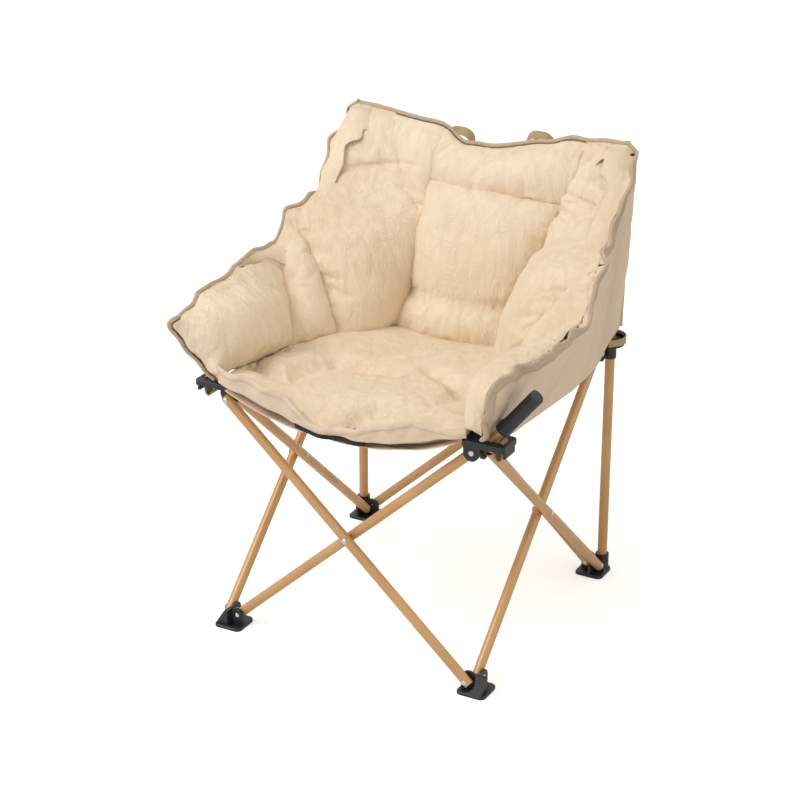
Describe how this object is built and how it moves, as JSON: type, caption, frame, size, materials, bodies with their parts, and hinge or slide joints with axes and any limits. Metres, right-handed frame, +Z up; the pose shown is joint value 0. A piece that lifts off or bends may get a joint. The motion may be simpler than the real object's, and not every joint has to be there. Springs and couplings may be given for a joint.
{
  "type": "folding padded club chair",
  "caption": "Folding padded chair: crossed tube legs with plastic feet and hubs carry a quilted tub seat with armrests and back; folds upright into a bundle",
  "frame": {"origin": "on the floor under the middle of the chair's box", "axes": "+Z up, the sitter looks along -Y, +X is to the right as seen from the front"},
  "size_m": [0.633, 0.5655, 0.758],
  "materials": {
    "tube_gold": "satin",
    "rivet_steel": "satin",
    "plastic_black": "matte",
    "sleeve_grey": "matte",
    "liner": "matte",
    "canvas": "matte",
    "webbing": "matte",
    "binding_black": "matte"
  },
  "bodies": {
    "rear_left_post": {"rear_left_foot": "plastic_black", "left_upright": "tube_gold", "left_upright_cap": "plastic_black", "back_cushion": "liner", "headrest": "liner", "left_wing_pad": "liner", "back_canvas": "canvas", "carry_loops": "webbing"},
    "left_inner_leg": {"left_inner_leg": "tube_gold", "left_inner_leg_rivets": "rivet_steel"},
    "front_left_hub": {"left_front_hub": "plastic_black", "left_hub_loop": "webbing", "front_band": "canvas", "band_binding": "binding_black"},
    "left_outer_leg": {"left_outer_leg": "tube_gold", "left_outer_leg_rivets": "rivet_steel"},
    "front_left_foot": {"front_left_foot": "plastic_black"},
    "rear_left_slider": {"rear_left_slider": "plastic_black", "left_slider_loop": "webbing"},
    "front_outer_leg": {"front_outer_leg": "tube_gold", "front_outer_leg_rivets": "rivet_steel"},
    "front_inner_leg": {"front_inner_leg": "tube_gold", "front_inner_leg_rivets": "rivet_steel"},
    "front_right_foot": {"front_right_foot": "plastic_black"},
    "front_right_hub": {"right_front_hub": "plastic_black", "right_hub_loop": "webbing"},
    "right_inner_leg": {"right_inner_leg": "tube_gold", "right_inner_leg_rivets": "rivet_steel"},
    "right_outer_leg": {"right_outer_leg": "tube_gold", "right_outer_leg_rivets": "rivet_steel"},
    "rear_right_post": {"rear_right_foot": "plastic_black", "right_upright": "tube_gold", "right_upright_cap": "plastic_black", "right_wing_pad": "liner"},
    "rear_right_slider": {"rear_right_slider": "plastic_black", "right_slider_loop": "webbing"},
    "rear_outer_leg": {"rear_outer_leg": "tube_gold", "rear_outer_leg_rivets": "rivet_steel"},
    "rear_inner_leg": {"rear_inner_leg": "tube_gold", "rear_inner_leg_rivets": "rivet_steel"},
    "left_arm": {"left_arm_post": "tube_gold", "left_arm_post_pin": "rivet_steel", "left_arm_sleeve": "sleeve_grey", "left_front_arm_pad": "liner", "left_rear_arm_pad": "liner", "left_side_canvas": "canvas"},
    "right_arm": {"right_arm_post": "tube_gold", "right_arm_post_pin": "rivet_steel", "right_arm_sleeve": "sleeve_grey", "right_front_arm_pad": "liner", "right_rear_arm_pad": "liner", "right_side_canvas": "canvas"},
    "seat": {"seat_cushion": "liner", "seat_canvas": "canvas"}
  },
  "joints": [
    {"name": "fold", "type": "hinge", "parent": "rear_left_post", "child": "left_inner_leg", "pos_m": [-0.21641, 0.227, 0.02], "axis": [-1, 0, 0], "range_deg": [0, 32.17], "deforming": ["back_cushion", "headrest", "left_wing_pad", "back_canvas", "right_wing_pad", "left_front_arm_pad", "left_rear_arm_pad", "left_side_canvas", "right_front_arm_pad", "right_rear_arm_pad", "right_side_canvas", "seat_cushion", "seat_canvas", "front_band", "band_binding"]},
    {"name": "front_left_hub_turn", "type": "hinge", "parent": "left_inner_leg", "child": "front_left_hub", "pos_m": [-0.21641, -0.193, 0.406], "axis": [1, 0, 0], "range_deg": [0, 32.17]},
    {"name": "left_crossing", "type": "hinge", "parent": "left_inner_leg", "child": "left_outer_leg", "pos_m": [-0.22491, 0.017, 0.213], "axis": [1, 0, 0], "range_deg": [0, 64.34]},
    {"name": "front_left_foot_turn", "type": "hinge", "parent": "left_outer_leg", "child": "front_left_foot", "pos_m": [-0.23341, -0.193, 0.02], "axis": [-1, 0, 0], "range_deg": [0, 32.17]},
    {"name": "rear_left_slider_turn", "type": "hinge", "parent": "left_outer_leg", "child": "rear_left_slider", "pos_m": [-0.23341, 0.227, 0.406], "axis": [-1, 0, 0], "range_deg": [0, 32.17]},
    {"name": "front_outer_leg_turn", "type": "hinge", "parent": "front_left_hub", "child": "front_outer_leg", "pos_m": [-0.21, -0.21641, 0.406], "axis": [0, 1, 0], "range_deg": [0, 32.17]},
    {"name": "front_crossing", "type": "hinge", "parent": "front_outer_leg", "child": "front_inner_leg", "pos_m": [0, -0.20791, 0.213], "axis": [0, -1, 0], "range_deg": [0, 64.34]},
    {"name": "front_right_foot_turn", "type": "hinge", "parent": "front_outer_leg", "child": "front_right_foot", "pos_m": [0.21, -0.21641, 0.02], "axis": [0, -1, 0], "range_deg": [0, 32.17]},
    {"name": "front_right_hub_turn", "type": "hinge", "parent": "front_inner_leg", "child": "front_right_hub", "pos_m": [0.21, -0.19941, 0.406], "axis": [0, 1, 0], "range_deg": [0, 32.17]},
    {"name": "right_inner_leg_turn", "type": "hinge", "parent": "front_right_foot", "child": "right_inner_leg", "pos_m": [0.21641, -0.193, 0.02], "axis": [1, 0, 0], "range_deg": [0, 32.17]},
    {"name": "right_crossing", "type": "hinge", "parent": "right_inner_leg", "child": "right_outer_leg", "pos_m": [0.22491, 0.017, 0.213], "axis": [-1, 0, 0], "range_deg": [0, 64.34]},
    {"name": "rear_right_foot_turn", "type": "hinge", "parent": "right_outer_leg", "child": "rear_right_post", "pos_m": [0.23341, 0.227, 0.02], "axis": [1, 0, 0], "range_deg": [0, 32.17]},
    {"name": "rear_right_slider_turn", "type": "hinge", "parent": "right_inner_leg", "child": "rear_right_slider", "pos_m": [0.21641, 0.227, 0.406], "axis": [-1, 0, 0], "range_deg": [0, 32.17]},
    {"name": "rear_outer_leg_turn", "type": "hinge", "parent": "rear_left_post", "child": "rear_outer_leg", "pos_m": [-0.21, 0.25041, 0.02], "axis": [0, -1, 0], "range_deg": [0, 32.17]},
    {"name": "rear_crossing", "type": "hinge", "parent": "rear_outer_leg", "child": "rear_inner_leg", "pos_m": [0, 0.24191, 0.213], "axis": [0, 1, 0], "range_deg": [0, 64.34]},
    {"name": "left_arm_rise", "type": "hinge", "parent": "front_left_hub", "child": "left_arm", "pos_m": [-0.239, -0.197, 0.429], "axis": [0, 1, 0], "range_deg": [0, 39]},
    {"name": "right_arm_rise", "type": "hinge", "parent": "front_right_hub", "child": "right_arm", "pos_m": [0.239, -0.197, 0.429], "axis": [0, -1, 0], "range_deg": [0, 39]},
    {"name": "seat_drop", "type": "hinge", "parent": "rear_left_slider", "child": "seat", "pos_m": [0, 0.163, 0.392], "axis": [1, 0, 0], "range_deg": [0, 78]}
  ],
  "couplings": [
    {"joint": "front_left_hub_turn", "follows": "fold", "ratio": 1},
    {"joint": "left_crossing", "follows": "fold", "ratio": 2},
    {"joint": "front_left_foot_turn", "follows": "fold", "ratio": 1},
    {"joint": "rear_left_slider_turn", "follows": "fold", "ratio": 1},
    {"joint": "front_outer_leg_turn", "follows": "fold", "ratio": 1},
    {"joint": "front_crossing", "follows": "fold", "ratio": 2},
    {"joint": "front_right_foot_turn", "follows": "fold", "ratio": 1},
    {"joint": "front_right_hub_turn", "follows": "fold", "ratio": 1},
    {"joint": "right_inner_leg_turn", "follows": "fold", "ratio": 1},
    {"joint": "right_crossing", "follows": "fold", "ratio": 2},
    {"joint": "rear_right_foot_turn", "follows": "fold", "ratio": 1},
    {"joint": "rear_right_slider_turn", "follows": "fold", "ratio": 1},
    {"joint": "rear_outer_leg_turn", "follows": "fold", "ratio": 1},
    {"joint": "rear_crossing", "follows": "fold", "ratio": 2},
    {"joint": "left_arm_rise", "follows": "fold", "ratio": 1.2123},
    {"joint": "right_arm_rise", "follows": "fold", "ratio": 1.2123},
    {"joint": "seat_drop", "follows": "fold", "ratio": 2.4246}
  ]
}
